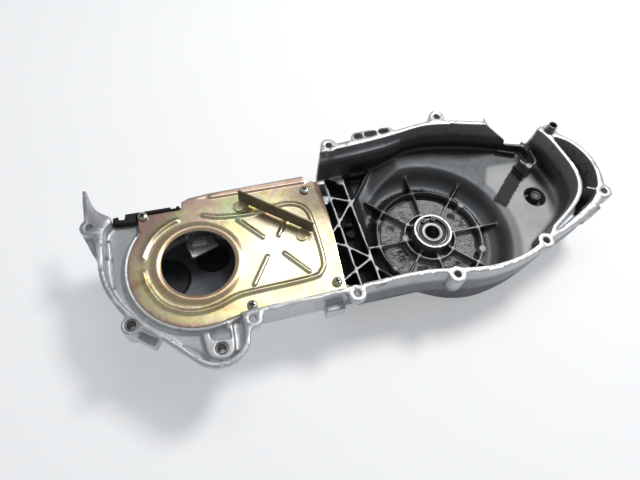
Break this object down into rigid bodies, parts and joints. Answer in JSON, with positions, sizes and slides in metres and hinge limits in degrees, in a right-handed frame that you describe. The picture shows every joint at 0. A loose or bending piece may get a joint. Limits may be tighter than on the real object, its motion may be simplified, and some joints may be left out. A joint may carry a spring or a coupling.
{
  "type": "scooter belt drive cover",
  "caption": "Cast scooter belt-drive cover with a plated air-duct plate, a shaft-end ball bearing, screws, seal and dowels.",
  "frame": {"origin": "middle of the bounding box's footprint, at the lowest face", "axes": "+X along the cover from the crankshaft end to the rear end, +Y across towards the open top side, +Z out of the machined mating face"},
  "size_m": [0.5316, 0.2312, 0.0888],
  "materials": {
    "cast_aluminium": "as cast, flange machined bright",
    "plated_sheet": "yellow passivated zinc",
    "bracket_steel": "dulled zinc",
    "rubber": "matte",
    "bearing_steel": "ground",
    "cage_steel": "pressed",
    "seal_rubber": "matte",
    "zinc_steel": "plain",
    "screw_steel": "zinc"
  },
  "bodies": {
    "cover": {"cover_casting": "cast_aluminium", "air_duct_plate": "plated_sheet", "deflector_bracket": "bracket_steel", "duct_seal": "rubber", "plate_screw_1": "screw_steel", "plate_screw_2": "screw_steel", "plate_screw_3": "screw_steel", "plate_screw_4": "screw_steel", "bearing_outer_ring": "bearing_steel", "bearing_seal": "seal_rubber", "bearing_circlip": "zinc_steel", "dowel_front": "zinc_steel", "dowel_bulge": "zinc_steel", "dowel_rear": "zinc_steel", "floor_plug": "zinc_steel"},
    "inner_ring": {"bearing_inner_ring": "bearing_steel"},
    "ball_train": {"bearing_cage": "cage_steel", "bearing_ball_1": "bearing_steel", "bearing_ball_2": "bearing_steel", "bearing_ball_3": "bearing_steel", "bearing_ball_4": "bearing_steel", "bearing_ball_5": "bearing_steel", "bearing_ball_6": "bearing_steel", "bearing_ball_7": "bearing_steel", "bearing_ball_8": "bearing_steel"}
  },
  "joints": [
    {"name": "inner_ring_spin", "type": "hinge", "parent": "cover", "child": "inner_ring", "pos_m": [0.0728, -0.01395, 0.0329], "axis": [0, 0, 1], "continuous": true},
    {"name": "ball_train_spin", "type": "hinge", "parent": "cover", "child": "ball_train", "pos_m": [0.0728, -0.01395, 0.0329], "axis": [0, 0, 1], "continuous": true}
  ],
  "couplings": [
    {"joint": "ball_train_spin", "follows": "inner_ring_spin", "ratio": 0.382}
  ]
}
